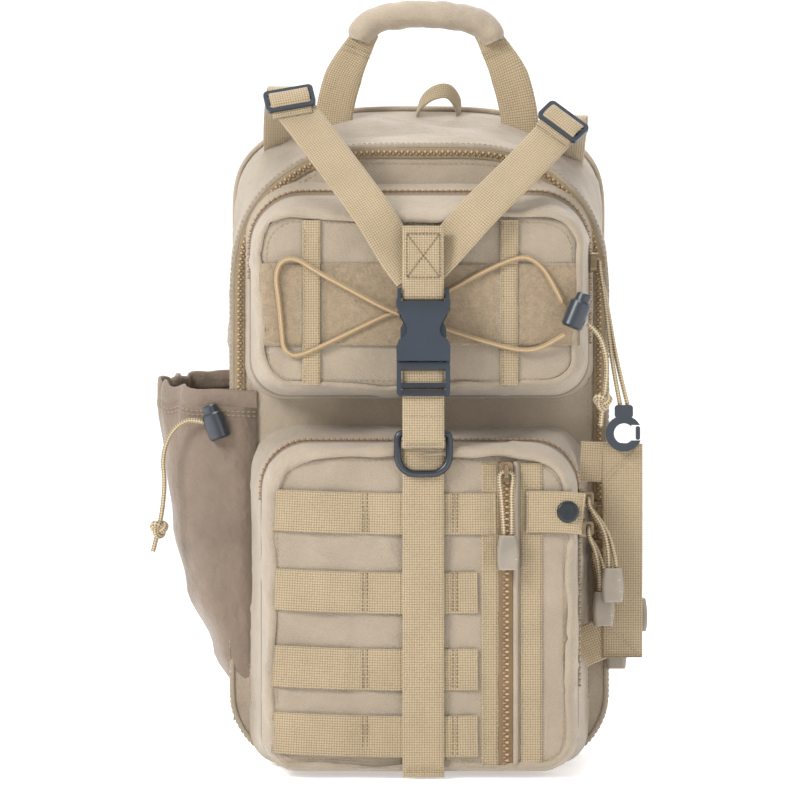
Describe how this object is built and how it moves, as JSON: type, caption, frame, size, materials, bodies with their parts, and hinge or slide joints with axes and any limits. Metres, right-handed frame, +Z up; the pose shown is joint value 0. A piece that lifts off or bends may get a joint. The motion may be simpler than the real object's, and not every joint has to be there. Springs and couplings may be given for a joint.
{
  "type": "tactical sling pack with y-strap and front pockets",
  "caption": "Small upright field pack: domed main body, stacked zipped front pockets under a buckled Y-strap, webbing rows, side bottle pocket, carry handle and shoulder straps.",
  "frame": {"origin": "on the flat face the pack stands on, on its left-right centre line, 12 mm behind the front edge of the main body", "axes": "+X to the right as seen from the front, +Y towards the back panel, +Z up"},
  "size_m": [0.3074, 0.23, 0.4819],
  "materials": {
    "body_fabric": "khaki coated oxford nylon",
    "pad_fabric": "khaki air mesh over foam",
    "webbing": "tan ribbed nylon webbing",
    "loop_pile": "tan hook-and-loop pile",
    "zip_chain": "brown coil zip on tan tape",
    "black_plastic": "satin black acetal",
    "snap_metal": "black enamel",
    "slider_metal": "tan painted zinc",
    "cord": "tan braided cord",
    "pull_rubber": "taupe moulded pull"
  },
  "bodies": {
    "pack": {"back_panel": "pad_fabric", "main_gusset": "body_fabric", "main_front": "body_fabric", "main_zip": "zip_chain", "upper_gusset": "body_fabric", "upper_zip": "zip_chain", "upper_face": "body_fabric", "lower_gusset": "body_fabric", "lower_zip": "zip_chain", "lower_face": "body_fabric", "molle_rows": "webbing", "loop_field": "loop_pile", "webbing_strips": "webbing", "front_zip": "zip_chain", "front_strap": "webbing", "buckle_female": "black_plastic", "yoke_tab": "webbing", "yoke_straps": "webbing", "strap_adjusters": "black_plastic", "shoulder_straps": "pad_fabric", "strap_anchors": "webbing", "bungee": "cord", "bungee_tail": "cord", "bungee_lock": "black_plastic", "bottle_pocket": "body_fabric", "bottle_hem": "body_fabric", "bottle_lock": "black_plastic", "bottle_cord": "cord", "grab_loop": "webbing"},
    "buckle_half": {"buckle_male": "black_plastic", "buckle_web": "webbing"},
    "prong_left": {"prong_left": "black_plastic"},
    "prong_right": {"prong_right": "black_plastic"},
    "ring": {"d_ring": "black_plastic"},
    "snap_flap": {"snap_tab": "webbing", "snap_cap": "snap_metal"},
    "handle": {"carry_handle": "webbing", "handle_grip": "body_fabric"},
    "bungee_press": {"bungee_button": "black_plastic"},
    "bottle_press": {"bottle_button": "black_plastic"},
    "hook_latch": {"hook_gate": "black_plastic"},
    "slider_front": {"slider_front": "slider_metal"},
    "pull_front": {"cord_front": "cord", "pull_front": "pull_rubber"},
    "slider_lower_high": {"slider_lower_high": "slider_metal"},
    "pull_lower_high": {"cord_lower_high": "cord", "pull_lower_high": "pull_rubber"},
    "slider_lower_low": {"slider_lower_low": "slider_metal"},
    "pull_lower_low": {"cord_lower_low": "cord", "pull_lower_low": "pull_rubber"},
    "slider_upper": {"slider_upper": "slider_metal"},
    "pull_upper": {"cord_upper": "cord", "hook_body": "black_plastic"},
    "slider_main_high": {"slider_main_high": "slider_metal"},
    "pull_main_high": {"cord_main_high": "cord", "pull_main_high": "pull_rubber"},
    "slider_main_low": {"slider_main_low": "slider_metal"},
    "pull_main_low": {"cord_main_low": "cord", "pull_main_low": "pull_rubber"}
  },
  "joints": [
    {"name": "buckle_release", "type": "slide", "parent": "pack", "child": "buckle_half", "axis": [0, -0.1942, -0.981], "range_m": [0, 0.018]},
    {"name": "prong_left_squeeze", "type": "hinge", "parent": "buckle_half", "child": "prong_left", "pos_m": [-0.008, -0.08913, 0.25081], "axis": [0, 0.981, -0.1942], "range_deg": [0, 5], "stiffness_Nm_per_rad": 0.4},
    {"name": "prong_right_squeeze", "type": "hinge", "parent": "buckle_half", "child": "prong_right", "pos_m": [0.012, -0.08913, 0.25081], "axis": [0, -0.981, 0.1942], "range_deg": [0, 5], "stiffness_Nm_per_rad": 0.4},
    {"name": "d_ring_swing", "type": "hinge", "parent": "pack", "child": "ring", "pos_m": [0.002, -0.091, 0.207], "axis": [-1, 0, 0], "range_deg": [0, 80]},
    {"name": "snap_flap_open", "type": "hinge", "parent": "pack", "child": "snap_flap", "pos_m": [0.0625, -0.0865, 0.16], "axis": [0, 0, -1], "range_deg": [0, 100]},
    {"name": "handle_fold", "type": "hinge", "parent": "pack", "child": "handle", "pos_m": [0.005, 0.045, 0.412], "axis": [1, 0, 0], "range_deg": [-55, 55]},
    {"name": "bungee_lock_press", "type": "slide", "parent": "pack", "child": "bungee_press", "axis": [-0.38, 0, -0.925], "range_m": [0, 0.003], "stiffness_N_per_m": 400},
    {"name": "bottle_lock_press", "type": "slide", "parent": "pack", "child": "bottle_press", "axis": [0.3489, 0, -0.9371], "range_m": [0, 0.003], "stiffness_N_per_m": 400},
    {"name": "slider_front_run", "type": "slide", "parent": "pack", "child": "slider_front", "axis": [0, 0, -1], "range_m": [0, 0.118]},
    {"name": "pull_front_swing", "type": "hinge", "parent": "slider_front", "child": "pull_front", "pos_m": [0.0515, -0.0931, 0.184], "axis": [-1, 0, 0], "range_deg": [0, 150]},
    {"name": "slider_lower_high_run", "type": "slide", "parent": "pack", "child": "slider_lower_high", "axis": [0, 0, 1], "range_m": [0, 0.007]},
    {"name": "pull_lower_high_swing", "type": "hinge", "parent": "slider_lower_high", "child": "pull_lower_high", "pos_m": [0.1026, -0.059, 0.167], "axis": [0, -1, 0], "range_deg": [0, 80]},
    {"name": "slider_lower_low_run", "type": "slide", "parent": "pack", "child": "slider_lower_low", "axis": [0, 0, -1], "range_m": [0, 0.085]},
    {"name": "pull_lower_low_swing", "type": "hinge", "parent": "slider_lower_low", "child": "pull_lower_low", "pos_m": [0.1026, -0.059, 0.149], "axis": [0, -1, 0], "range_deg": [0, 28]},
    {"name": "slider_upper_run", "type": "slide", "parent": "pack", "child": "slider_upper", "axis": [0, 0, -1], "range_m": [0, 0.042]},
    {"name": "pull_upper_swing", "type": "hinge", "parent": "slider_upper", "child": "pull_upper", "pos_m": [0.1111, -0.031, 0.312], "axis": [0, -1, 0], "range_deg": [0, 60]},
    {"name": "slider_main_high_run", "type": "slide", "parent": "pack", "child": "slider_main_high", "axis": [0, 0, 1], "range_m": [0, 0.05]},
    {"name": "pull_main_high_swing", "type": "hinge", "parent": "slider_main_high", "child": "pull_main_high", "pos_m": [0.1115, -0.0211, 0.158], "axis": [0, -1, 0], "range_deg": [0, 20]},
    {"name": "slider_main_low_run", "type": "slide", "parent": "pack", "child": "slider_main_low", "axis": [0, 0, -1], "range_m": [0, 0.056]},
    {"name": "pull_main_low_swing", "type": "hinge", "parent": "slider_main_low", "child": "pull_main_low", "pos_m": [0.1115, -0.0211, 0.134], "axis": [0, -1, 0], "range_deg": [0, 20]},
    {"name": "hook_gate_open", "type": "hinge", "parent": "pull_upper", "child": "hook_latch", "pos_m": [0.1336, -0.0465, 0.2036], "axis": [0, -1, 0], "range_deg": [0, 18], "stiffness_Nm_per_rad": 0.02}
  ],
  "couplings": [
    {"joint": "prong_right_squeeze", "follows": "prong_left_squeeze", "ratio": 1}
  ]
}
